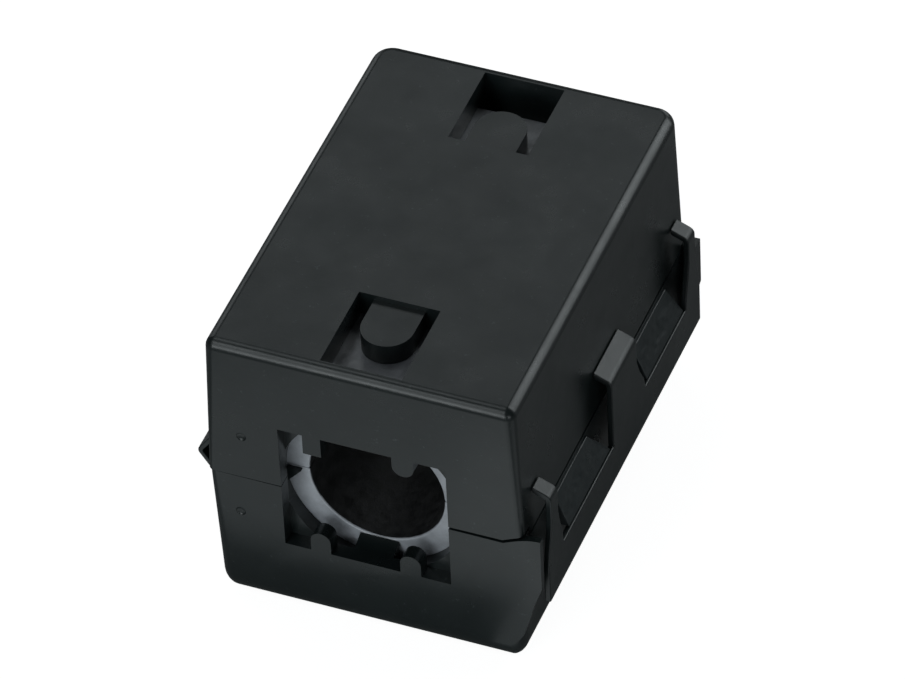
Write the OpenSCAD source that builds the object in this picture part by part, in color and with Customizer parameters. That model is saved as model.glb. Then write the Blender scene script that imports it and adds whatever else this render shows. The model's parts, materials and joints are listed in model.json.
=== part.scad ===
// Clip-on ferrite bead: a hinged snap-shut plastic case around a split ferrite core.
// Origin: on the cable axis, at mid length. +X points from the hinge to the latch,
// +Y along the cable, +Z up. The two halves of the case part at z = 0.

/* [Case] */
// Length of the case along the cable
case_length = 32.9; // [32.9:0.1:35]
// Width of the case at the parting line, without hinge and latch
case_width = 23.4; // [23.4:0.1:24.2]
// Height of the lid above the parting line
upper_height = 12.3; // [12.3:0.1:13]
// Depth of the base below the parting line
lower_height = 12.1; // [12:0.1:13]
// How far each side wall leans in over the full height of a half
wall_draft = 0.35; // [0.2:0.05:0.4]
// How far each end wall leans in over the full height of a half
end_draft = 0.05; // [0:0.05:0.2]
// Radius of the upright corners
corner_radius = 0.8; // [0.6:0.1:1.2]
// Radius along the top edges of the lid
top_edge_radius = 0.8; // [0.4:0.1:0.8]
// Radius along the bottom edges of the base
bottom_edge_radius = 2.1; // [1.2:0.1:2.4]

/* [Ferrite core] */
// Diameter of the cable hole
bore_diameter = 10; // [9.6:0.1:10]
// Length of the core
core_length = 28.3; // [28:0.1:28.4]
// Width of the core
core_width = 20.2; // [19.6:0.1:20.2]
// Height of each half of the core
core_half_height = 10.2; // [10:0.1:10.3]
// Chamfer along the long outer edges of the core
core_chamfer = 1.2; // [0.6:0.1:1.6]

/* [End openings] */
// Width of the opening in each end wall
opening_width = 12.4; // [12.2:0.1:13]
// Height of the opening in each end wall
opening_height = 11; // [10.8:0.1:11.4]
// Thickness of the outer plate that carries the fingers
plate_thickness = 1.15; // [0.9:0.05:1.2]
// Diameter of the round hole in the collar behind that plate
collar_diameter = 13.4; // [12.6:0.1:14]
// Width of the locating tab in the middle of each collar
tab_width = 2.9; // [2:0.1:4]

/* [Lid windows and spring tongues] */
// Width of each window
window_width = 6; // [5:0.1:7]
// Distance from mid length to the inner edge of a window
window_start = 8.4; // [8:0.05:9.5]
// Distance from mid length to the outer edge of a window
window_end = 15.6; // [15:0.1:15.6]
// Depth of the windows below the top of the lid
window_depth = 3.6; // [3:0.1:3.8]
// Width of a spring tongue
tongue_width = 3.8; // [3:0.1:4.4]
// Length of a spring tongue
tongue_length = 4.2; // [3.6:0.1:5]
// Depth of a tongue's face below the top of the lid
tongue_sink = 0.4; // [0.2:0.1:0.6]

/* [Latch] */
// How far the latch flap's outer face stands out from the side wall
latch_offset = 1.35; // [1.3:0.05:1.4]
// Thickness of the flap and of its arms
flap_thickness = 0.5; // [0.45:0.05:0.6]
// Length of the flap along the case
flap_length = 30.3; // [29:0.1:30.4]
// Level above the parting line where the arms grow out of the lid
arm_root = 3.7; // [3.4:0.1:4.4]
// Level below the parting line of the top of the bar that joins the arms
bar_top = 2.95; // [2.8:0.05:3.1]
// Level below the parting line of the flap's lower edge
flap_bottom = 6.25; // [5:0.05:6.8]
// Length of the middle arm
middle_arm_length = 4.9; // [4:0.1:6]
// Length of each end arm
end_arm_length = 1.3; // [1.2:0.1:2]
// Distance of each end arm from the end of the flap
arm_inset = 0.75; // [0.3:0.05:1]
// How far the base's two catches stand out from the side wall
catch_reach = 1.2; // [1.1:0.05:1.25]

/* [Base corners on the latch side] */
// How far the front ear stands out from the side wall
front_ear_reach = 1.25; // [0.9:0.05:1.3]
// Level of the front ear's top above the parting line
front_rim_top = 0.9; // [0.3:0.1:1]
// Thickness of the front ear along the case
front_ear_thickness = 0.5; // [0.4:0.05:0.8]
// How far the rear ear stands out from the side wall
rear_ear_reach = 0.95; // [0.9:0.05:1.3]
// Level of the rear ear's top above the parting line
rear_rim_top = 0.4; // [0.3:0.1:1]
// Thickness of the rear ear along the case
rear_ear_thickness = 1.05; // [0.4:0.05:1.05]

/* [Hinge] */
// Length of each living-hinge strap
strap_length = 9; // [6:0.5:12]
// Distance of each strap's outer end from mid length
strap_end = 15; // [13:0.25:15.5]
// Thickness of a strap
strap_thickness = 0.5; // [0.4:0.05:0.6]
// How far a strap bulges out from the wall
strap_bulge = 1.35; // [1.2:0.05:1.8]
// Half the height of a strap
strap_half_height = 2.2; // [1.6:0.1:2.4]

/* [Hidden] */
$fn = 64;

case_colour = "#2c3031";
core_colour = "#5b5d66";

parting_gap = 0.1;
core_clearance = 0.1;
tab_clearance = 0.25;        // the tabs stop this far outside the bore
half_width = case_width / 2;
half_length = case_length / 2;
pocket_half_width = core_width / 2 + core_clearance;
pocket_half_length = core_length / 2 + core_clearance / 2;
pocket_height = core_half_height + core_clearance;

// x of the outer face of a side wall at level z, for a half of the given height
function wall_x(z, height) = half_width - wall_draft * abs(z) / height;

// Grip fingers of one half of an end opening: [centre x, width, tip level, rounded tip]
lid_fingers = [[-3.7, 1.35, 3.8, false], [3.02, 1.6, 3.9, true]];
base_fingers = [[-3.5, 1.5, 3.75, true], [3.2, 1.55, 3.8, true]];

// Latch levels and places
latch_outer = half_width + latch_offset;
flap_half = flap_length / 2;
root_gap = 0.05;             // the arms' roots stop this far from the lid's wall
shoulder_slope = 23;         // the arms' roots fall away from the wall at this angle
shoulder_radius = 0.7;
catch_top = 0.4;
catch_bottom = bar_top - 0.15;
catch_gap = 0.3;             // room between a catch and the arms on both sides of it
arm_end = flap_half - arm_inset;
arm_spans = [[-arm_end, -arm_end + end_arm_length],
             [-middle_arm_length / 2, middle_arm_length / 2],
             [arm_end - end_arm_length, arm_end]];
ear_foot = 9;
rim_inner = 10.2;
rim_steps = 14;
slot_side = flap_half + 0.2;

// The parting line near a latch-side corner, where the base's rim rises outward: points in x and z
function rim_curve(reach, top, offset) = let(run = half_width + reach - rim_inner)
  [for (i = [0:rim_steps]) [rim_inner + run * i / rim_steps, top * sin(90 * i / rim_steps) + offset]];

// ---- shared shapes, drawn for the half above the parting line ----

// Solid outside of one half, with leaning walls and rounded edges
module outer_block(height, edge_radius) {
  top_x = half_width - wall_draft;
  top_y = half_length - end_draft;
  hull() {
    for (x = [-1, 1], y = [-1, 1]) {
      translate([x * (half_width - corner_radius), y * (half_length - corner_radius), parting_gap / 2])
        cylinder(r = corner_radius, h = 0.01, $fn = 32);
      translate([x * (top_x - edge_radius), y * (top_y - edge_radius), height - edge_radius])
        sphere(r = edge_radius, $fn = 32);
    }
  }
}

// Profile, in x and z, of one half of the opening in the outer plate, fingers left standing
module opening_profile(fingers) {
  difference() {
    translate([-opening_width / 2, -1])
      square([opening_width, 1 + opening_height / 2]);
    for (f = fingers) finger_profile(f[0], f[1], f[2], f[3]);
  }
}

module finger_profile(x, width, tip, rounded) {
  root = opening_height / 2 + 1;
  low = rounded ? tip + width / 2 : tip;
  translate([x - width / 2, low]) square([width, root - low]);
  if (rounded) translate([x, low]) circle(r = width / 2);
}

// Profile of the round hole in the collar, with its locating tab left standing
module collar_profile() {
  circle(r = bore_diameter / 2 + tab_clearance);
  difference() {
    circle(r = collar_diameter / 2);
    translate([-tab_width / 2, 0]) square([tab_width, collar_diameter]);
  }
}

// Everything cut out of one end wall, at the -Y end
module end_cut(fingers) {
  translate([0, plate_thickness - half_length, 0]) rotate([90, 0, 0])
    linear_extrude(plate_thickness + 1) opening_profile(fingers);
  translate([0, 1 - pocket_half_length, 0]) rotate([90, 0, 0])
    linear_extrude(half_length - pocket_half_length - plate_thickness + 1.01) collar_profile();
}

// One half of the case without hinge or latch
module half_case(height, edge_radius, fingers) {
  difference() {
    outer_block(height, edge_radius);
    translate([-pocket_half_width, -pocket_half_length, -1])
      cube([2 * pocket_half_width, 2 * pocket_half_length, pocket_height + 1]);
    end_cut(fingers);
    mirror([0, 1, 0]) end_cut(fingers);
  }
}

// A bar along the cable axis with an outline given in x and z
module side_bar(points, y0, y1) {
  translate([0, y1, 0]) rotate([90, 0, 0]) linear_extrude(y1 - y0) polygon(points);
}

// ---- lid ----

// D-shaped spring tongue in the window at the -Y end, reaching down to the core
module spring_tongue() {
  tip_radius = tongue_width / 2;
  foot = core_half_height + core_clearance / 2;
  translate([0, -window_start, foot])
    linear_extrude(upper_height - tongue_sink - foot) {
      translate([-tongue_width / 2, tip_radius - tongue_length])
        square([tongue_width, tongue_length - tip_radius]);
      translate([0, tip_radius - tongue_length]) circle(r = tip_radius);
    }
}

module window_cut() {
  translate([-window_width / 2, -window_end, upper_height - window_depth])
    cube([window_width, window_end - window_start, window_depth + 1]);
}

// Room under the lid's latch-side edge for the base's raised rim, at the -Y end
module rim_relief(reach, top) {
  side_bar(concat([[half_width + reach, -1], [rim_inner, -1]], rim_curve(reach, top, parting_gap / 2)),
           -half_length - 1, -flap_half);
}

module upper_shell() {
  color(case_colour) {
    difference() {
      half_case(upper_height, top_edge_radius, lid_fingers);
      window_cut();
      mirror([0, 1, 0]) window_cut();
      rim_relief(front_ear_reach, front_rim_top);
      mirror([0, 1, 0]) rim_relief(rear_ear_reach, rear_rim_top);
    }
    spring_tongue();
    mirror([0, 1, 0]) spring_tongue();
  }
}

// ---- base ----

// Raised rim and thin ear at the -Y end of the latch side
module corner_rim(reach, top, thickness) {
  inset = half_width - 0.6;
  outer = half_width + reach;
  crest = rim_curve(reach, top, -parting_gap / 2);
  rim = [for (p = crest) if (p[0] <= half_width) p];
  ear = [for (p = crest) if (p[0] > inset) p];
  side_bar(concat([[half_width, -2], [rim_inner, -2]], rim), -half_length, -slot_side);
  side_bar(concat([[inset, -ear_foot], [inset, 0]], ear,
                  [[outer, -3.8], [half_width + reach / 2, -5.6], [half_width + 0.2, -7.3],
                   [half_width - 0.25, -ear_foot]]),
           -half_length, -half_length + thickness);
}

// Wedge-shaped catch on the latch-side wall, filling the space between two arms
module catch_wedge(y0, y1) {
  wall = wall_x(catch_bottom, lower_height) - 0.3;
  side_bar([[wall, -catch_bottom], [wall, -catch_top], [half_width + 0.2, -catch_top],
            [half_width + catch_reach, -catch_bottom]], y0 + catch_gap, y1 - catch_gap);
}

module lower_shell() {
  color(case_colour) {
    mirror([0, 0, 1]) half_case(lower_height, bottom_edge_radius, base_fingers);
    corner_rim(front_ear_reach, front_rim_top, front_ear_thickness);
    mirror([0, 1, 0]) corner_rim(rear_ear_reach, rear_rim_top, rear_ear_thickness);
    catch_wedge(arm_spans[0][1], arm_spans[1][0]);
    catch_wedge(arm_spans[1][1], arm_spans[2][0]);
  }
}

// ---- latch ----

// One side of an arm's outline, from its root at the wall to the shoulder's foot; inset is 0 on the
// outside and the flap's thickness on the inside
function shoulder(inset) = let(
    wall = wall_x(arm_root, upper_height) + root_gap,
    radius = shoulder_radius - inset,
    centre_x = latch_outer - shoulder_radius,
    root = arm_root - inset / cos(shoulder_slope),
    centre_z = root - (centre_x + radius * sin(shoulder_slope) - wall) * tan(shoulder_slope)
               - radius * cos(shoulder_slope))
  concat([[wall, root]],
         [for (t = [90 - shoulder_slope:-(90 - shoulder_slope) / 6:0])
          [centre_x + radius * cos(t), centre_z + radius * sin(t)]]);

function reversed(points) = [for (i = [len(points) - 1:-1:0]) points[i]];

// Outline of an arm with the bar below it: out of the lid's wall over a sloping shoulder, then down
arm_outline = concat(shoulder(0),
                     [[latch_outer, -flap_bottom], [latch_outer - flap_thickness, -flap_bottom]],
                     reversed(shoulder(flap_thickness)));

bar_outline = [[latch_outer, -bar_top], [latch_outer, -flap_bottom],
               [latch_outer - flap_thickness, -flap_bottom],
               [latch_outer - flap_thickness, -bar_top]];

module latch_flap() {
  color(case_colour) {
    side_bar(bar_outline, -flap_half, flap_half);
    for (s = arm_spans) side_bar(arm_outline, s[0], s[1]);
  }
}

// ---- hinge ----

// Arched strap from the base's wall to the lid's wall, thin all the way
module hinge_strap(y0) {
  foot = 0.7;
  lid_gap = 0.02;
  low = -strap_half_height;
  high = strap_half_height;
  outer = [for (t = [-80:20:80]) [-half_width - strap_bulge * cos(t), high * sin(t)]];
  inner = [for (t = [80:-20:-80])
           [-half_width - (strap_bulge - strap_thickness) * cos(t), (high - strap_thickness) * sin(t)]];
  ends_high = [[-wall_x(high, upper_height) - lid_gap, high],
               [-wall_x(high - foot, upper_height) - lid_gap, high - foot]];
  ends_low = [[-wall_x(foot - high, lower_height), foot - high],
              [-wall_x(low, lower_height), low]];
  color(case_colour) side_bar(concat(outer, ends_high, inner, ends_low), y0, y0 + strap_length);
}

module hinge_strap_front() hinge_strap(-strap_end);

module hinge_strap_rear() hinge_strap(strap_end - strap_length);

// ---- ferrite ----

// Half of the core above the parting line
module half_core() {
  w = core_width / 2;
  h = core_half_height;
  c = core_chamfer;
  color(core_colour) difference() {
    side_bar([[-w, 0.03], [w, 0.03], [w, h - c], [w - c, h], [c - w, h], [-w, h - c]],
             -core_length / 2, core_length / 2);
    rotate([90, 0, 0]) cylinder(d = bore_diameter, h = core_length + 2, center = true);
  }
}

module upper_core() half_core();

module lower_core() mirror([0, 0, 1]) half_core();

lower_shell();
upper_shell();
latch_flap();
hinge_strap_front();
hinge_strap_rear();
lower_core();
upper_core();
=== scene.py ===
"""Looks of a clip-on ferrite bead: moulded case, latch flap, hinge straps and ferrite halves.

Shapes are worked out in millimetres and handed over in metres. X points from the hinge to the
latch, Y along the cable, Z up; the two halves of the case part at z = 0.
"""

import json
import math

import bmesh
import bpy
from mathutils import Matrix, Vector, noise


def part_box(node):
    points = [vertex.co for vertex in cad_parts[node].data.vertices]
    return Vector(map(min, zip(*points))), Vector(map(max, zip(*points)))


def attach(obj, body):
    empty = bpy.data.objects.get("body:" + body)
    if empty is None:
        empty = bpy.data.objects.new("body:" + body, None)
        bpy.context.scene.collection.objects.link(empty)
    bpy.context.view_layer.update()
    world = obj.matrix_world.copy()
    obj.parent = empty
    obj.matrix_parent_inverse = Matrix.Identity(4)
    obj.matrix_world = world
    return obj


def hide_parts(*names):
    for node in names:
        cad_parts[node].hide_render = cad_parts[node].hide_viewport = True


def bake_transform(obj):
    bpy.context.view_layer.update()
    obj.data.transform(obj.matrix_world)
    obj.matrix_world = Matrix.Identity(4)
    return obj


MM = 0.001

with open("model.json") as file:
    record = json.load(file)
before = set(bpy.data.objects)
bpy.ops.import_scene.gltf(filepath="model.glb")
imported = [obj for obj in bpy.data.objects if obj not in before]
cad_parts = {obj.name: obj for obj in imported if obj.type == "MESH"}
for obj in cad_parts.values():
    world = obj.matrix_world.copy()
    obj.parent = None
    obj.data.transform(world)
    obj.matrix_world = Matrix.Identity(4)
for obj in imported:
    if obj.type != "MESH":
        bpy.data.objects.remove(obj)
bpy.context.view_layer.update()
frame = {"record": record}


def node_box(node):
    """A node's lowest and highest corner, in millimetres."""
    low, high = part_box(node)
    return low / MM, high / MM


LID_LOW, LID_HIGH = node_box("upper_shell")
BASE_LOW, BASE_HIGH = node_box("lower_shell")
FLAP_LOW, FLAP_HIGH = node_box("latch_flap")
CORE_HIGH = node_box("upper_core")[1]
BORE_RADIUS = frame["record"]["mounts"][0]["dims"]["r_mm"]

# ---- driving dimensions, in millimetres ----

HALF_WIDTH = -LID_LOW.x
HALF_LENGTH = LID_HIGH.y
WALL_DRAFT = 0.35
# Radii of the upright corners at the parting line: -Y end, +Y end
LID_CORNERS = (0.45, 1.2)
BASE_CORNERS = (0.75, 1.0)
# How much those radii grow towards the closed end
CORNER_GROWTH = 0.3
SMALLEST_RADIUS = 0.02
LID_EDGE_RADIUS = 0.75
BASE_EDGE_RADIUS = 2.1
EDGE_STEPS = 8
PARTING_GAP_HINGE = 0.01
PARTING_GAP_LATCH = 0.28
# How far tools reach past what they cut, and how deep joined pieces sink into each other
CUT_MARGIN = 1
JOIN = 0.2
OVERLAP = 0.01

CORE_CLEARANCE = 0.1
POCKET_X = CORE_HIGH.x + CORE_CLEARANCE
POCKET_Y = CORE_HIGH.y + CORE_CLEARANCE / 2
POCKET_Z = CORE_HIGH.z + CORE_CLEARANCE
POCKET_CORNER = 0.3
CORE_CHAMFER = 1.2
CORE_GAP = 0.02
BORE_STEPS = 96
MOUTH_RADIUS = 0.15
MOUTH_MARGIN = 0.3

OPENING_HALF_WIDTH = 6.2
OPENING_HALF_HEIGHT = 5.5
PLATE = 1.15
COLLAR_RADIUS = 6.7
COLLAR_STEPS = 60
TAB_WIDTH = 2.9
LIP_REACH = 1.2
LIP_DEPTH = 1.25
LIP_TIP = 0.15
LIP_LEVEL = 0.05
LIP_THICKNESS = 0.35

# Grip fingers: (centre x, width, level of the tip, is the tip round)
LID_FINGERS = [(-3.7, 1.35, 3.8, False), (3.02, 1.6, 3.9, True)]
BASE_FINGERS = [(-3.5, 1.5, 3.75, True), (3.2, 1.55, 3.8, True)]

WINDOW_HALF_WIDTH = 3
WINDOW_START = 8.4
WINDOW_END = 15.6
WINDOW_DEPTH = 3.6
TONGUE_WIDTH = 3.8
TONGUE_LENGTH = 4.2
TONGUE_ROOT = 0.6
TONGUE_SINK = 0.4

# Mould marks on the front face: centre x, level
LID_MARK = (-8.97, 3.91)
BASE_MARK = (-9.42, -3.41)
MARK_RADIUS = 0.38
MARK_DEPTH = 0.15

RIM_INNER = 10.2
RIM_DEPTH = 2
RIM_END_GAP = 0.2
# Rims of the base at the latch-side corners: x of the ear's outer edge, level of its top, its thickness
FRONT_RIM = (BASE_HIGH.x, BASE_HIGH.z, 0.5)
REAR_RIM = (HALF_WIDTH + 0.95, 0.35, 1.05)
# How far the rim's curve rises above that level, before the parting gap is taken off
RIM_RISE = 0.05
# Levels where the ear's outer edge ends and where it has come halfway back to the wall
EAR_CORNER = -3.8
EAR_ELBOW = -5.6
# The ear's outline below that: how far outside the wall, and level
EAR_SLANT = [(0.2, -7.3), (-0.25, -8.8), (-0.8, -9.7)]
# How far the ear reaches inside the wall, and down
EAR_INNER = 1.2
EAR_FOOT = 10

FLAP_THICKNESS = 0.45
SHOULDER_SLOPE = 23
SHOULDER_RADIUS = 0.6
SHOULDER_STEPS = 5
ARM_LEVELS = (1.9, 0.8, -0.5, -1.8)
BAR_TOP = -2.95
BAR_STEPS = 5
END_ARM = 1.3
ARM_INSET = 0.75
MIDDLE_ARM = 4.9
# How much wider the arms are at their feet, and the level where they start to widen
END_ARM_FOOT = 0.85
MIDDLE_ARM_FOOT = 1.6
ARM_WIDENS = 1

CATCH_GAP = 0.3
CATCH_END_GAP = 0.1
CATCH_REACH = 1.2
CATCH_SINK = 0.5
CATCH_STEP = 0.2
CATCH_LEDGE = 0.15
CATCH_TOP = -0.3
CATCH_PLAY = 0.06
CATCH_FRONT_INSET = 1.9
CATCH_RINGS = 90
CATCH_ROWS = 22
# Unevenness of the catches' faces: frequency along Y and along Z, seed, height
CATCH_RIPPLES = [(0.55, 1.3, 3.7, 0.09), (1.7, 2.6, 9.1, 0.05)]
# How far the uneven face is sunk, and how quickly it fades out towards the upper and lower edge
CATCH_HOLLOW = 0.05
CATCH_FADE = 3

STRAP_FOOT = 0.7
STRAP_RADIUS = 0.45
STRAP_LEVEL = 0.05
STRAP_INNER_RADIUS = 0.2
STRAP_INNER_INSET = 0.12
# Angles between which the strap's outline rounds its outermost point
STRAP_ARC = (150, 215)
STRAP_RINGS = 12

# Small roundings of the moulded and ground edges
LID_ROUNDING = 0.07
TONGUE_ROUNDING = 0.13
BASE_ROUNDING = 0.05
CATCH_ROUNDING = 0.05
FLAP_ROUNDING = 0.1
STRAP_ROUNDING = 0.08
CORE_ROUNDING = 0.08
# How near a point has to be to an edge's level to count as part of it
NEAR = 0.01

# How strongly large faces outweigh small ones in the shading normals; 50 is even
NORMAL_WEIGHT = 90
MERGE_DISTANCE = 0.002


# ---- mesh tools ----


def mesh_object(name, points, faces):
    mesh = bpy.data.meshes.new(name)
    mesh.from_pydata([tuple(p) for p in points], [], faces)
    mesh.update()
    made = bpy.data.objects.new(name, mesh)
    bpy.context.collection.objects.link(made)
    return made


def loft(name, rings):
    """Closed solid through rings of equally many points, with flat ends."""
    count = len(rings[0])
    points = [p for ring in rings for p in ring]
    faces = [list(range(count))[::-1], [(len(rings) - 1) * count + i for i in range(count)]]
    for r in range(len(rings) - 1):
        for i in range(count):
            j = (i + 1) % count
            faces.append([r * count + i, r * count + j, (r + 1) * count + j, (r + 1) * count + i])
    made = mesh_object(name, points, faces)
    face_outward(made)
    return made


def face_outward(piece):
    """Turns all faces of a closed piece outward."""
    shape = bmesh.new()
    shape.from_mesh(piece.data)
    bmesh.ops.recalc_face_normals(shape, faces=shape.faces)
    shape.to_mesh(piece.data)
    shape.free()


def bar(name, outline, y0, y1):
    """An outline given in x and z, drawn out along Y."""
    return loft(name, [[(x, y, z) for x, z in outline] for y in (y0, y1)])


def slab(name, outline, z0, z1):
    """An outline given in x and y, drawn out along Z."""
    return loft(name, [[(x, y, z) for x, y in outline] for z in (z0, z1)])


def arc(cx, cy, radius, start, end, steps):
    """Points on a circle, angles in degrees."""
    angles = [math.radians(start + (end - start) * i / steps) for i in range(steps + 1)]
    return [(cx + radius * math.cos(a), cy + radius * math.sin(a)) for a in angles]


def mirrored(piece, axis):
    """A copy of a piece, mirrored across the plane through the origin."""
    copy = piece.copy()
    copy.data = piece.data.copy()
    bpy.context.collection.objects.link(copy)
    scale = [1, 1, 1]
    scale["xyz".index(axis)] = -1
    copy.data.transform(Matrix.Diagonal((*scale, 1)))
    face_outward(copy)
    return copy


def combine(body, tools, operation):
    """Adds or cuts the tools, which are used up."""
    for tool in tools:
        step = body.modifiers.new("step", "BOOLEAN")
        step.operation = operation
        step.solver = "EXACT"
        step.object = tool
    graph = bpy.context.evaluated_depsgraph_get()
    mesh = bpy.data.meshes.new_from_object(body.evaluated_get(graph))
    body.modifiers.clear()
    body.data = mesh
    for tool in tools:
        bpy.data.objects.remove(tool)
    return body


def soften(piece, width, segments=2, sharp=30, where=None):
    """Rounds edges that are sharper than an angle and, if a test is given, pass it."""
    shape = bmesh.new()
    shape.from_mesh(piece.data)
    bmesh.ops.remove_doubles(shape, verts=shape.verts, dist=MERGE_DISTANCE)
    bmesh.ops.dissolve_degenerate(shape, edges=shape.edges, dist=MERGE_DISTANCE)
    chosen = []
    for edge in shape.edges:
        if len(edge.link_faces) != 2 or edge.calc_face_angle(0) < math.radians(sharp):
            continue
        if where is None or where(edge):
            chosen.append(edge)
    bmesh.ops.bevel(shape, geom=chosen, offset=width, offset_type="OFFSET", segments=segments,
                    profile=0.5, affect="EDGES", clamp_overlap=True)
    shape.to_mesh(piece.data)
    shape.free()


def finished(piece, material):
    """Smooth shading with flat faces kept flat, then metres, material and slot."""
    for face in piece.data.polygons:
        face.use_smooth = True
    weighted = piece.modifiers.new("normals", "WEIGHTED_NORMAL")
    weighted.keep_sharp = True
    weighted.weight = NORMAL_WEIGHT
    graph = bpy.context.evaluated_depsgraph_get()
    mesh = bpy.data.meshes.new_from_object(piece.evaluated_get(graph))
    piece.modifiers.clear()
    piece.data = mesh
    mesh.transform(Matrix.Scale(MM, 4))
    mesh.name = piece.name
    mesh.materials.clear()
    mesh.materials.append(material)
    return piece


# ---- materials ----

DUST = (0.05, 0.06, 0.062)
PLASTIC_IOR = 1.5
FERRITE_IOR = 2.2


class Sheet:
    """A material's node tree, with short calls to add and join nodes."""

    def __init__(self, name):
        self.material = bpy.data.materials.new(name)
        self.material.use_nodes = True
        self.tree = self.material.node_tree
        self.shader = self.tree.nodes["Principled BSDF"]
        self.place = self.add("ShaderNodeTexCoord").outputs["Object"]

    def add(self, kind, **settings):
        node = self.tree.nodes.new(kind)
        for key, value in settings.items():
            setattr(node, key, value)
        return node

    def join(self, output, target):
        self.tree.links.new(output, target)

    def noise(self, grain, detail=4, rough=0.6):
        """Noise whose blotches are about grain millimetres across."""
        node = self.add("ShaderNodeTexNoise")
        self.join(self.place, node.inputs["Vector"])
        node.inputs["Scale"].default_value = 1 / (grain * MM)
        node.inputs["Detail"].default_value = detail
        node.inputs["Roughness"].default_value = rough
        return node.outputs["Fac"]

    def spread(self, value, low, high, start=0.3, end=0.7):
        """A noise value stretched from low to high."""
        node = self.add("ShaderNodeMapRange")
        self.join(value, node.inputs["Value"])
        for key, number in zip(("From Min", "From Max", "To Min", "To Max"), (start, end, low, high)):
            node.inputs[key].default_value = number
        return node.outputs["Result"]

    def blend(self, value, dark, light):
        node = self.add("ShaderNodeMix", data_type="RGBA")
        self.join(value, node.inputs["Factor"])
        node.inputs["A"].default_value = (*dark, 1)
        node.inputs["B"].default_value = (*light, 1)
        return node.outputs["Result"]

    def bump(self, heights):
        """Bumps laid over each other: (value, height in millimetres, strength)."""
        normal = None
        for value, height, strength in heights:
            node = self.add("ShaderNodeBump")
            self.join(value, node.inputs["Height"])
            node.inputs["Distance"].default_value = height * MM
            node.inputs["Strength"].default_value = strength
            if normal:
                self.join(normal, node.inputs["Normal"])
            normal = node.outputs["Normal"]
        self.join(normal, self.shader.inputs["Normal"])

    def set(self, **values):
        for key, value in values.items():
            self.shader.inputs[key.replace("_", " ")].default_value = value


def plastic(name, dark, light, rough_low, rough_high, grain_strength):
    """Black moulded plastic: satin and faintly blotchy, with a fine grain and pale flecks of dust."""
    sheet = Sheet(name)
    mottle = sheet.spread(sheet.noise(9, detail=5, rough=0.65), 0, 1)
    plain = sheet.blend(mottle, dark, light)
    flecks = sheet.spread(sheet.noise(0.45, detail=3, rough=0.7), 0, 1, start=0.65, end=0.8)
    node = sheet.add("ShaderNodeMix", data_type="RGBA")
    sheet.join(flecks, node.inputs["Factor"])
    sheet.join(plain, node.inputs["A"])
    node.inputs["B"].default_value = (*DUST, 1)
    sheet.join(node.outputs["Result"], sheet.shader.inputs["Base Color"])
    sheet.join(sheet.spread(sheet.noise(4), rough_low, rough_high), sheet.shader.inputs["Roughness"])
    waves = sheet.noise(4, detail=2)
    dents = sheet.noise(0.9, detail=2)
    grain = sheet.noise(0.16, detail=3)
    sheet.bump([(waves, 0.02, 0.5), (dents, 0.012, 0.5), (grain, 0.006, grain_strength)])
    sheet.set(IOR=PLASTIC_IOR)
    return sheet.material


def ferrite(name, dark, light):
    """Sintered ferrite: grey with a cool tint, fine pores and a slight sheen."""
    sheet = Sheet(name)
    tone = sheet.spread(sheet.noise(1.4, detail=6, rough=0.7), 0, 1)
    sheet.join(sheet.blend(tone, dark, light), sheet.shader.inputs["Base Color"])
    sheet.join(sheet.spread(sheet.noise(0.8), 0.35, 0.6), sheet.shader.inputs["Roughness"])
    sheet.bump([(sheet.noise(0.5, detail=4), 0.03, 0.6), (sheet.noise(0.12), 0.01, 0.5)])
    sheet.set(IOR=FERRITE_IOR)
    return sheet.material


CASE = plastic("case_plastic", (0.007, 0.0105, 0.0108), (0.011, 0.0155, 0.016), 0.26, 0.34, 0.35)
# The catches are the case plastic with a rougher grain; their lighter, bluer colour is painted light on
# their upward-tilted faces
CATCH_PLASTIC_PAINTED_LIGHT = plastic("catch_plastic_painted_light", (0.0095, 0.015, 0.016), (0.017, 0.024, 0.026), 0.25, 0.45, 0.6)
# The core's ends and mating faces are ground and its bore is fired, as on the real core; the ground
# colour is raised as painted light on the recessed ends, the outside is darkened as painted shade, and
# the bore is painted near black as shade
GROUND_FERRITE_PAINTED_LIT = ferrite("ground_ferrite_painted_lit", (0.3, 0.315, 0.345), (0.46, 0.485, 0.53))
SKIN_FERRITE_PAINTED_SHADE = ferrite("skin_ferrite_painted_shade", (0.085, 0.09, 0.102), (0.16, 0.17, 0.19))
FIRED_BORE_PAINTED_SHADE = ferrite("fired_bore_painted_shade", (0.004, 0.004, 0.0045), (0.011, 0.011, 0.012))


# ---- case halves, both drawn above the parting line ----


def rounded_rectangle(half_x, half_y, front, rear, steps=8):
    """A rectangle with one corner radius at the -Y end and another at the +Y end."""
    corners = [(1, 1, rear, 0), (-1, 1, rear, 90), (-1, -1, front, 180), (1, -1, front, 270)]
    outline = []
    for sx, sy, radius, start in corners:
        outline += arc(sx * (half_x - radius), sy * (half_y - radius), radius, start, start + 90, steps)
    return outline


def parting_level(x):
    """Half of the parting gap, which widens from the hinge to the latch."""
    share = (x + HALF_WIDTH) / (2 * HALF_WIDTH)
    return (PARTING_GAP_HINGE + (PARTING_GAP_LATCH - PARTING_GAP_HINGE) * share) / 2


def outer_block(name, height, edge_radius, corners):
    """The outside of one half: leaning walls and a rounded edge round its closed end."""
    levels = [(0, 0, 0), (height - edge_radius, 0, 1)]
    for i in range(1, EDGE_STEPS + 1):
        angle = math.radians(90 * i / EDGE_STEPS)
        inset = edge_radius * (1 - math.cos(angle))
        levels.append((height - edge_radius * (1 - math.sin(angle)), inset, 1))
    rings = []
    for z, inset, share in levels:
        radii = [max(corner + CORNER_GROWTH * share - inset, SMALLEST_RADIUS) for corner in corners]
        half_x = HALF_WIDTH - WALL_DRAFT * z / height - inset
        outline = rounded_rectangle(half_x, HALF_LENGTH - inset, *radii)
        rings.append([(x, y, z if z else parting_level(x)) for x, y in outline])
    return loft(name, rings)


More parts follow.
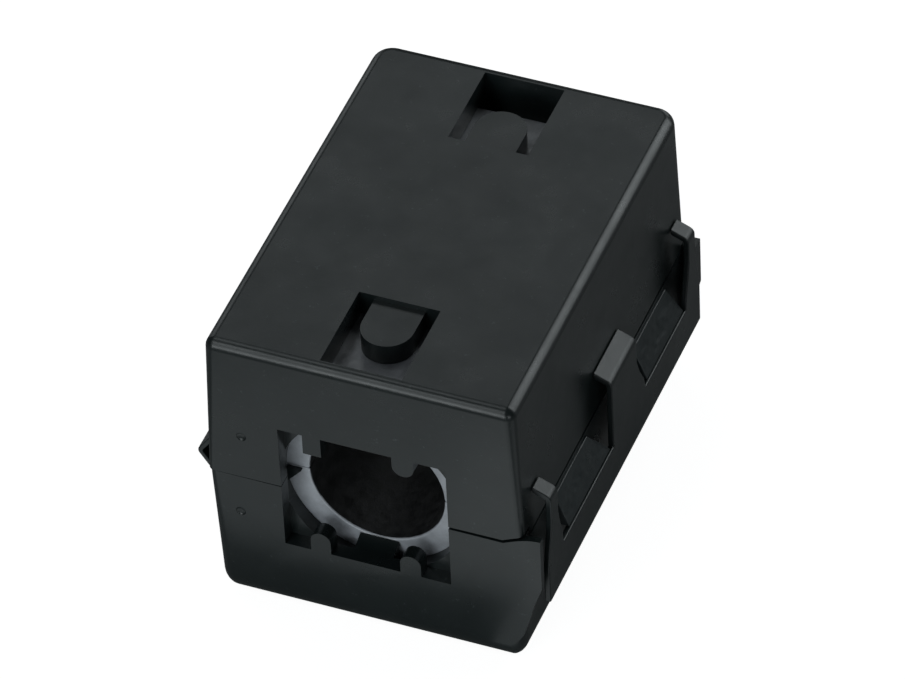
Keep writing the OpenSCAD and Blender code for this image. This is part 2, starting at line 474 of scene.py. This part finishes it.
def opening_outline(fingers):
    """One half of the opening in an end plate, fingers left standing."""
    points = [(-OPENING_HALF_WIDTH, -CUT_MARGIN), (-OPENING_HALF_WIDTH, OPENING_HALF_HEIGHT)]
    for x, width, tip, is_round in fingers:
        half = width / 2
        points.append((x - half, OPENING_HALF_HEIGHT))
        if is_round:
            points += arc(x, tip + half, half, 180, 360, 12)
        else:
            points += [(x - half, tip), (x + half, tip)]
        points.append((x + half, OPENING_HALF_HEIGHT))
    points += [(OPENING_HALF_WIDTH, OPENING_HALF_HEIGHT), (OPENING_HALF_WIDTH, -CUT_MARGIN)]
    return points


def locating_tabs():
    """Sloping tabs in the middle of both collars, reaching down to the bore of the core."""
    front, back = PLATE - HALF_LENGTH - OVERLAP, -POCKET_Y
    root = COLLAR_RADIUS + JOIN
    outline = [(front, OPENING_HALF_HEIGHT), (back, BORE_RADIUS), (back, root), (front, root)]
    half = TAB_WIDTH / 2
    tab = loft("tab", [[(x, y, z) for y, z in outline] for x in (-half, half)])
    return [tab, mirrored(tab, "y")]


def end_cuts(fingers):
    """What is cut out of both end walls of one half."""
    plate_face = PLATE - HALF_LENGTH
    opening = bar("cut", opening_outline(fingers), -HALF_LENGTH - CUT_MARGIN, plate_face)
    ring = arc(0, 0, COLLAR_RADIUS, -20, 200, COLLAR_STEPS)
    collar = bar("cut", ring, plate_face - OVERLAP, CUT_MARGIN - POCKET_Y)
    return [opening, collar, mirrored(opening, "y"), mirrored(collar, "y")]


def pocket():
    """Room for the core."""
    outline = rounded_rectangle(POCKET_X, POCKET_Y, POCKET_CORNER, POCKET_CORNER, 2)
    return slab("cut", outline, -CUT_MARGIN, POCKET_Z)


def rim_curve(rim, x_end, offset, steps=8):
    """The parting line near a latch-side corner, where the base's rim rises outward."""
    outer, top, _ = rim
    points = []
    for i in range(steps + 1):
        x = RIM_INNER + (x_end - RIM_INNER) * i / steps
        share = (x - RIM_INNER) / (outer - RIM_INNER)
        points.append((x, (top + RIM_RISE) * math.sin(math.pi / 2 * share) + offset))
    return points


def ball(name, centre, radii):
    """An ellipsoid with its poles along Y."""
    shape = bmesh.new()
    bmesh.ops.create_uvsphere(shape, u_segments=24, v_segments=12, radius=1)
    mesh = bpy.data.meshes.new(name)
    shape.to_mesh(mesh)
    shape.free()
    mesh.transform(Matrix.Rotation(math.pi / 2, 4, "X"))
    mesh.transform(Matrix.Diagonal((*radii, 1)))
    mesh.transform(Matrix.Translation(centre))
    made = bpy.data.objects.new(name, mesh)
    bpy.context.collection.objects.link(made)
    return made


def mould_mark(shell, x, z):
    """A shallow round dimple in the front face."""
    centre = (x, -HALF_LENGTH, z)
    combine(shell, [ball("cut", centre, (MARK_RADIUS, MARK_DEPTH, MARK_RADIUS))], "DIFFERENCE")


# ---- lid ----


def tongue():
    """D-shaped spring tongue at the -Y end."""
    radius = TONGUE_WIDTH / 2
    root = TONGUE_ROOT - WINDOW_START
    tip = radius - WINDOW_START - TONGUE_LENGTH
    outline = [(radius, root), (-radius, root)] + arc(0, tip, radius, 180, 360, 20)
    return slab("tongue", outline, POCKET_Z - CORE_CLEARANCE / 2, LID_HIGH.z - TONGUE_SINK)


def window():
    """The opening round the tongue at the -Y end."""
    x, y0, y1 = WINDOW_HALF_WIDTH, -WINDOW_END, -WINDOW_START
    outline = [(-x, y0), (x, y0), (x, y1), (-x, y1)]
    return slab("cut", outline, LID_HIGH.z - WINDOW_DEPTH, LID_HIGH.z + CUT_MARGIN)


def rim_relief(rim):
    """Room for the base's raised rim, at the -Y end."""
    outer = rim[0]
    outline = [(outer, -CUT_MARGIN), (RIM_INNER, -CUT_MARGIN)]
    outline += rim_curve(rim, outer, PARTING_GAP_LATCH / 2)
    return bar("cut", outline, -HALF_LENGTH - CUT_MARGIN, FLAP_LOW.y)


def on_tongue_rim(edge):
    """Whether an edge runs round the top of a tongue."""
    level, reach = LID_HIGH.z - TONGUE_SINK, TONGUE_WIDTH / 2 + NEAR
    return all(abs(v.co.z - level) < NEAR and abs(v.co.x) < reach for v in edge.verts)


def make_lid():
    lid = outer_block("lid_shell", LID_HIGH.z, LID_EDGE_RADIUS, LID_CORNERS)
    opening = window()
    combine(lid, [pocket(), opening, mirrored(opening, "y")] + end_cuts(LID_FINGERS), "DIFFERENCE")
    front, rear = rim_relief(FRONT_RIM), rim_relief(REAR_RIM)
    combine(lid, [front, mirrored(rear, "y")], "DIFFERENCE")
    bpy.data.objects.remove(rear)
    spring = tongue()
    combine(lid, [spring, mirrored(spring, "y")] + locating_tabs(), "UNION")
    soften(lid, LID_ROUNDING, where=lambda edge: not on_tongue_rim(edge))
    soften(lid, TONGUE_ROUNDING, segments=3, where=on_tongue_rim)
    mould_mark(lid, *LID_MARK)
    finished(lid, CASE)
    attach(lid, "lid")
    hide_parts("upper_shell")


# ---- base ----


def corner_rim(rim):
    """Raised rim and thin ear at the -Y end of the latch side."""
    foot = HALF_WIDTH - EAR_INNER
    outer, _, thickness = rim
    offset = -PARTING_GAP_LATCH / 2
    edge = [(HALF_WIDTH, -RIM_DEPTH), (RIM_INNER, -RIM_DEPTH)] + rim_curve(rim, HALF_WIDTH, offset)
    crest = [p for p in rim_curve(rim, outer, offset, 14) if p[0] > foot]
    ear = [(foot, -EAR_FOOT), (foot, 0)] + crest
    ear += [(outer, EAR_CORNER), ((outer + HALF_WIDTH) / 2, EAR_ELBOW)]
    ear += [(HALF_WIDTH + out, level) for out, level in EAR_SLANT]
    return [bar("rim", edge, -HALF_LENGTH, FLAP_LOW.y - RIM_END_GAP),
            bar("ear", ear, -HALF_LENGTH, thickness - HALF_LENGTH)]


def collar_lip():
    """Small lip against the core at the -Y end, in the collar's hinge-side corner at the parting line."""
    outer = -COLLAR_RADIUS - JOIN
    outline = [(outer, LIP_LEVEL), (LIP_REACH - COLLAR_RADIUS, LIP_LEVEL),
               (LIP_TIP - COLLAR_RADIUS, LIP_DEPTH), (outer, LIP_DEPTH)]
    return bar("lip", outline, -POCKET_Y - LIP_THICKNESS, -POCKET_Y)


def make_base():
    base = outer_block("base_shell", -BASE_LOW.z, BASE_EDGE_RADIUS, BASE_CORNERS)
    combine(base, [pocket()] + end_cuts(BASE_FINGERS), "DIFFERENCE")
    combine(base, [collar_lip()] + locating_tabs(), "UNION")
    base.data.transform(Matrix.Diagonal((1, 1, -1, 1)))
    face_outward(base)
    front, rear = corner_rim(FRONT_RIM), corner_rim(REAR_RIM)
    combine(base, front + [mirrored(piece, "y") for piece in rear], "UNION")
    for piece in rear:
        bpy.data.objects.remove(piece)
    soften(base, BASE_ROUNDING)
    mould_mark(base, *BASE_MARK)
    finished(base, CASE)
    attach(base, "base")
    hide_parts("lower_shell")


def make_catch(name, y0, y1, slant):
    """Wedge-shaped catch on the base's wall, with the uneven face that its mould left.

    Its +Y end leans: the catch is shorter by slant at its top than at its lower edge.
    """
    bottom = BAR_TOP + CATCH_PLAY
    wall = HALF_WIDTH - CATCH_SINK
    top = (HALF_WIDTH + CATCH_STEP, CATCH_TOP)
    tip = (HALF_WIDTH + CATCH_REACH, bottom)
    rings = []
    for i in range(CATCH_RINGS + 1):
        along = i / CATCH_RINGS
        end = min(i, CATCH_RINGS - i)
        y_top = y0 + (y1 - slant - y0) * along
        y_bottom = y0 + (y1 - y0) * along
        ring = [(wall, y_top, CATCH_TOP), (top[0] - CATCH_LEDGE, y_top, CATCH_TOP)]
        for j in range(CATCH_ROWS + 1):
            share = j / CATCH_ROWS
            x = top[0] + (tip[0] - top[0]) * share
            y = y_top + (y_bottom - y_top) * share
            z = top[1] + (tip[1] - top[1]) * share
            ripple = 0
            for along_y, along_z, seed, height in CATCH_RIPPLES:
                ripple += noise.noise(Vector((y * along_y, z * along_z, seed))) * height
            fade = min(1, end / 2) * min(1, CATCH_FADE * share, CATCH_FADE * (1 - share))
            ring.append((x + ripple * fade - CATCH_HOLLOW * fade, y, z))
        ring.append((wall, y_bottom, bottom))
        rings.append(ring)
    catch = loft(name, rings)
    soften(catch, CATCH_ROUNDING, sharp=50)
    finished(catch, CATCH_PLASTIC_PAINTED_LIGHT)
    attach(catch, "base")


def make_catches():
    """The two catches, each in the space between two arms of the flap."""
    arm_start = FLAP_HIGH.y - ARM_INSET - END_ARM
    front = (CATCH_GAP + CATCH_FRONT_INSET - arm_start, -MIDDLE_ARM / 2 - CATCH_GAP)
    rear = (MIDDLE_ARM / 2 + CATCH_GAP + CATCH_FRONT_INSET, arm_start - END_ARM_FOOT - CATCH_END_GAP)
    make_catch("catch_front", *front, slant=1.8)
    make_catch("catch_rear", *rear, slant=0.9)


# ---- latch flap ----


def offset_inward(points, thickness):
    """The other side of a sheet: each point moved to the right of the way the points run."""
    moved = []
    for i, (x, z) in enumerate(points):
        before, after = points[max(i - 1, 0)], points[min(i + 1, len(points) - 1)]
        dx, dz = after[0] - before[0], after[1] - before[1]
        length = math.hypot(dx, dz)
        moved.append((x + thickness * dz / length, z - thickness * dx / length))
    return moved


def flap_section():
    """Outer and inner points in x and z, from the root down, and the bar's first row."""
    root, wall, out = FLAP_HIGH.z, FLAP_LOW.x, FLAP_HIGH.x
    slope = math.radians(SHOULDER_SLOPE)
    centre_x = out - SHOULDER_RADIUS
    run = centre_x + SHOULDER_RADIUS * math.sin(slope) - wall
    centre_z = root - run * math.tan(slope) - SHOULDER_RADIUS * math.cos(slope)
    outer = [(wall, root), (wall + run / 3, root - run / 3 * math.tan(slope))]
    outer += arc(centre_x, centre_z, SHOULDER_RADIUS, 90 - SHOULDER_SLOPE, 0, SHOULDER_STEPS)
    outer += [(out, z) for z in ARM_LEVELS]
    bar_row = len(outer)
    outer += [(out, BAR_TOP + (FLAP_LOW.z - BAR_TOP) * i / BAR_STEPS) for i in range(BAR_STEPS + 1)]
    inner = offset_inward(outer, FLAP_THICKNESS)
    inner[0] = (wall, root - FLAP_THICKNESS)
    return list(zip(outer, inner)), bar_row


def flap_mesh():
    """Three arms that widen towards the bar below them, as one sheet of even thickness."""
    pairs, bar_row = flap_section()
    half = FLAP_HIGH.y
    points, faces = [], []
    for pair in pairs:
        low = min(1, max(0, (ARM_WIDENS - pair[0][1]) / (ARM_WIDENS - BAR_TOP)))
        low = low * low * (3 - 2 * low)
        end = half - ARM_INSET * (1 - low)
        start = half - ARM_INSET - END_ARM - END_ARM_FOOT * low
        edges = [-end, -start, -MIDDLE_ARM / 2, MIDDLE_ARM / 2 + MIDDLE_ARM_FOOT * low, start, end]
        points += [(x, y, z) for y in edges for x, z in pair]

    def vertex(row, column, side):
        return (row * len(edges) + column) * 2 + side

    def solid(row, column):
        inside = 0 <= row < len(pairs) - 1 and 0 <= column < len(edges) - 1
        return inside and (row >= bar_row or column % 2 == 0)

    for row in range(len(pairs) - 1):
        for column in range(len(edges) - 1):
            if not solid(row, column):
                continue
            corners = [(row, column), (row, column + 1), (row + 1, column + 1), (row + 1, column)]
            faces.append([vertex(r, c, 0) for r, c in corners])
            faces.append([vertex(r, c, 1) for r, c in corners[::-1]])
            neighbours = [(row - 1, column), (row, column + 1), (row + 1, column), (row, column - 1)]
            for side, (r, c) in enumerate(neighbours):
                if not solid(r, c):
                    a, b = corners[side], corners[(side + 1) % 4]
                    faces.append([vertex(*b, 0), vertex(*a, 0), vertex(*a, 1), vertex(*b, 1)])
    return mesh_object("latch_flap_skin", points, faces)


def make_flap():
    flap = flap_mesh()
    shape = bmesh.new()
    shape.from_mesh(flap.data)
    bmesh.ops.delete(shape, geom=[v for v in shape.verts if not v.link_faces], context="VERTS")
    bmesh.ops.recalc_face_normals(shape, faces=shape.faces)
    shape.to_mesh(flap.data)
    shape.free()
    soften(flap, FLAP_ROUNDING, segments=3)
    finished(flap, CASE)
    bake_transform(flap)
    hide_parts("latch_flap")


# ---- hinge straps ----


def strap_outline(low, high):
    """Section of a strap in x and z: an arch that stands out from the wall and is hollow inside."""
    start, end = STRAP_ARC
    wall = high.x + JOIN
    tip = low.x + STRAP_RADIUS
    outline = [(wall, high.z), (high.x, high.z)]
    outline += arc(tip, STRAP_LEVEL, STRAP_RADIUS, start, end, 8)
    outline += [(high.x, low.z), (wall, low.z)]
    outline += [(wall, low.z + STRAP_FOOT), (high.x, low.z + STRAP_FOOT)]
    outline += arc(tip + STRAP_INNER_INSET, STRAP_LEVEL, STRAP_INNER_RADIUS, end, start, 4)
    outline += [(high.x, high.z - STRAP_FOOT), (wall, high.z - STRAP_FOOT)]
    return outline


def make_strap(name, node):
    low, high = node_box(node)
    rings = []
    for i in range(STRAP_RINGS + 1):
        y = low.y + (high.y - low.y) * i / STRAP_RINGS
        rings.append([(x, y, z) for x, z in strap_outline(low, high)])
    strap = loft(name, rings)
    soften(strap, STRAP_ROUNDING)
    finished(strap, CASE)
    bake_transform(strap)
    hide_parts(node)


# ---- ferrite ----


def on_bore_mouth(edge):
    """Whether an edge runs round the end of the bore."""
    at_end = all(abs(abs(v.co.y) - CORE_HIGH.y) < NEAR for v in edge.verts)
    return at_end and all(math.hypot(v.co.x, v.co.z) < BORE_RADIUS + 0.05 for v in edge.verts)


def core_tone(face, side):
    """Which of the core's materials a face has: 0 ground, lightened as painted light; 1 fired bore,
    painted near black as shade; 2 dull outside, darkened as painted shade.
    """
    middle = face.center / MM
    in_bore = math.hypot(middle.x, middle.z) < BORE_RADIUS + 0.06
    if in_bore and abs(middle.y) < CORE_HIGH.y - MOUTH_MARGIN:
        return 1
    is_ground = abs(face.normal.y) > 0.5 or face.normal.z * side < -0.5
    return 0 if is_ground else 2


def make_core(name, node, body, side):
    """Half of the ferrite core, drawn above the parting line; side -1 turns it over."""
    w, h, c = CORE_HIGH.x, CORE_HIGH.z, CORE_CHAMFER
    length = CORE_HIGH.y
    outline = [(-w, CORE_GAP), (w, CORE_GAP), (w, h - c), (w - c, h), (c - w, h), (-w, h - c)]
    core = bar(name, outline, -length, length)
    circle = arc(0, 0, BORE_RADIUS, 0, 360 - 360 / BORE_STEPS, BORE_STEPS - 1)
    bore = bar("cut", circle, -length - CUT_MARGIN, length + CUT_MARGIN)
    combine(core, [bore], "DIFFERENCE")
    soften(core, MOUTH_RADIUS, segments=3, where=on_bore_mouth)
    soften(core, CORE_ROUNDING, sharp=35)
    if side < 0:
        core.data.transform(Matrix.Diagonal((1, 1, -1, 1)))
        face_outward(core)
    finished(core, GROUND_FERRITE_PAINTED_LIT)
    core.data.materials.append(FIRED_BORE_PAINTED_SHADE)
    core.data.materials.append(SKIN_FERRITE_PAINTED_SHADE)
    for face in core.data.polygons:
        face.material_index = core_tone(face, side)
    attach(core, body)
    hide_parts(node)


# ---- camera, floor and light ----

# Camera: place in millimetres, angles in degrees, lens and sensor in millimetres
CAMERA_PLACE = (154.234, -357.484, 368.825)
CAMERA_ANGLES = (23.317, 43.359, -2.967)
CAMERA_LENS = 303.54
SENSOR_WIDTH = 36

FLOOR_HALF_SIZE = 3.0
FLOOR_ALBEDO = 0.3
FLOOR_GLOW = 0.93
# Lamps and world; lengths in metres
LAMP_DISTANCE = 0.6
LAMP_SIZE = 0.2
WORLD = 0.03
LAMP_COLOUR = (0.93, 1.0, 1.02)
# Name, azimuth and elevation in degrees, watts
SOFT_LAMPS = [
    ("front", -17, 13, 0.47),
    ("front_high", -20, 32, 0.22),
    ("low_front", 0, 12, 0.28),
    ("low_right", 45, 12, 0.32),
    ("front_left", 325, 52, 0.36),
    ("overhead", 245, 68, 0.22),
    ("rear", 203, 42, 0.11),
    ("low_rear_left", 225, 12, 0.12),
    ("rear_right", 157, 42, 0.3),
    ("middle_right", 143, 30, 0.38),
    ("low_rear_right", 133, 14, 0.24),
    ("low_rear", 180, 12, 0.17),
]
# Name, x, y and side in millimetres, radiance
GROUND_LIFT = 0.2
LIT_GROUND = [
    ("ground_front", -12, -34, 24, 0.46),
    ("ground_right", 11, -34, 22, 0.66),
    ("ground_near", 12, -21, 7, 0.35),
    ("ground_side", 34, -22, 18, 0.3),
]


def make_camera():
    """A long lens that looks down on the -Y end, the lid and the latch side."""
    azimuth, elevation, roll = (math.radians(a) for a in CAMERA_ANGLES)
    place = Vector(CAMERA_PLACE) * MM
    back = Vector((math.sin(azimuth) * math.cos(elevation), -math.cos(azimuth) * math.cos(elevation),
                   math.sin(elevation)))
    camera = bpy.data.objects.new("camera", bpy.data.cameras.new("camera"))
    camera.data.lens = CAMERA_LENS
    camera.data.sensor_width = SENSOR_WIDTH
    camera.data.clip_start, camera.data.clip_end = 0.01, 10
    turn = (-back).to_track_quat("-Z", "Y").to_matrix().to_4x4()
    camera.matrix_world = Matrix.Translation(place) @ turn @ Matrix.Rotation(roll, 4, "Z")
    bpy.context.collection.objects.link(camera)
    bpy.context.scene.camera = camera


def make_floor():
    """A pale floor, to which the camera's rays alone add light, so that it shows as white."""
    size = FLOOR_HALF_SIZE
    z = BASE_LOW.z * MM
    floor = mesh_object("floor", [(-size, -size, z), (size, -size, z), (size, size, z), (-size, size, z)],
                        [(0, 1, 2, 3)])
    material = bpy.data.materials.new("floor_white")
    material.use_nodes = True
    tree = material.node_tree
    shader = tree.nodes["Principled BSDF"]
    shader.inputs["Base Color"].default_value = (FLOOR_ALBEDO, FLOOR_ALBEDO, FLOOR_ALBEDO, 1)
    shader.inputs["Roughness"].default_value = 0.9
    path = tree.nodes.new("ShaderNodeLightPath")
    share = tree.nodes.new("ShaderNodeMath")
    share.operation = "MULTIPLY"
    share.inputs[1].default_value = FLOOR_GLOW
    glow = tree.nodes.new("ShaderNodeEmission")
    both = tree.nodes.new("ShaderNodeAddShader")
    tree.links.new(path.outputs["Is Camera Ray"], share.inputs[0])
    tree.links.new(share.outputs["Value"], glow.inputs["Strength"])
    tree.links.new(shader.outputs["BSDF"], both.inputs[0])
    tree.links.new(glow.outputs["Emission"], both.inputs[1])
    tree.links.new(both.outputs["Shader"], tree.nodes["Material Output"].inputs["Surface"])
    floor.data.materials.append(material)


def area_lamp(name, place, facing, size, watts):
    lamp = bpy.data.objects.new(name, bpy.data.lights.new(name, "AREA"))
    lamp.data.shape = "SQUARE"
    lamp.data.size = size
    lamp.data.energy = watts
    lamp.data.color = LAMP_COLOUR
    lamp.location = place
    lamp.rotation_euler = (-facing).to_track_quat("Z", "Y").to_euler()
    lamp.visible_camera = False
    bpy.context.collection.objects.link(lamp)


def soft_lamp(name, azimuth, elevation, watts):
    """A square soft lamp aimed at the bead; azimuth 0 is the -Y side, 90 the +X side."""
    a, e = math.radians(azimuth), math.radians(elevation)
    toward = Vector((math.sin(a) * math.cos(e), -math.cos(a) * math.cos(e), math.sin(e)))
    area_lamp(name, toward * LAMP_DISTANCE, -toward, LAMP_SIZE, watts)


def lit_ground(name, x, y, side, radiance):
    """A bright patch of ground that shines up, in place of the pale sheet that the case mirrors."""
    place = Vector((x, y, BASE_LOW.z + GROUND_LIFT)) * MM
    area_lamp(name, place, Vector((0, 0, 1)), side * MM, radiance * math.pi * (side * MM) ** 2)


def make_light():
    world = bpy.data.worlds.new("world")
    bpy.context.scene.world = world
    world.use_nodes = True
    background = world.node_tree.nodes["Background"]
    background.inputs["Color"].default_value = (1, 1, 1, 1)
    background.inputs["Strength"].default_value = WORLD
    for name, azimuth, elevation, watts in SOFT_LAMPS:
        soft_lamp(name, azimuth, elevation, watts)
    for name, x, y, side, radiance in LIT_GROUND:
        lit_ground(name, x, y, side, radiance)


make_camera()
make_floor()
make_light()
make_lid()
make_base()
make_catches()
make_flap()
make_strap("hinge_front", "hinge_strap_front")
make_strap("hinge_rear", "hinge_strap_rear")
make_core("core_low", "lower_core", "base", -1)
make_core("core_high", "upper_core", "lid", 1)

bpy.context.scene.view_settings.view_transform = "Standard"
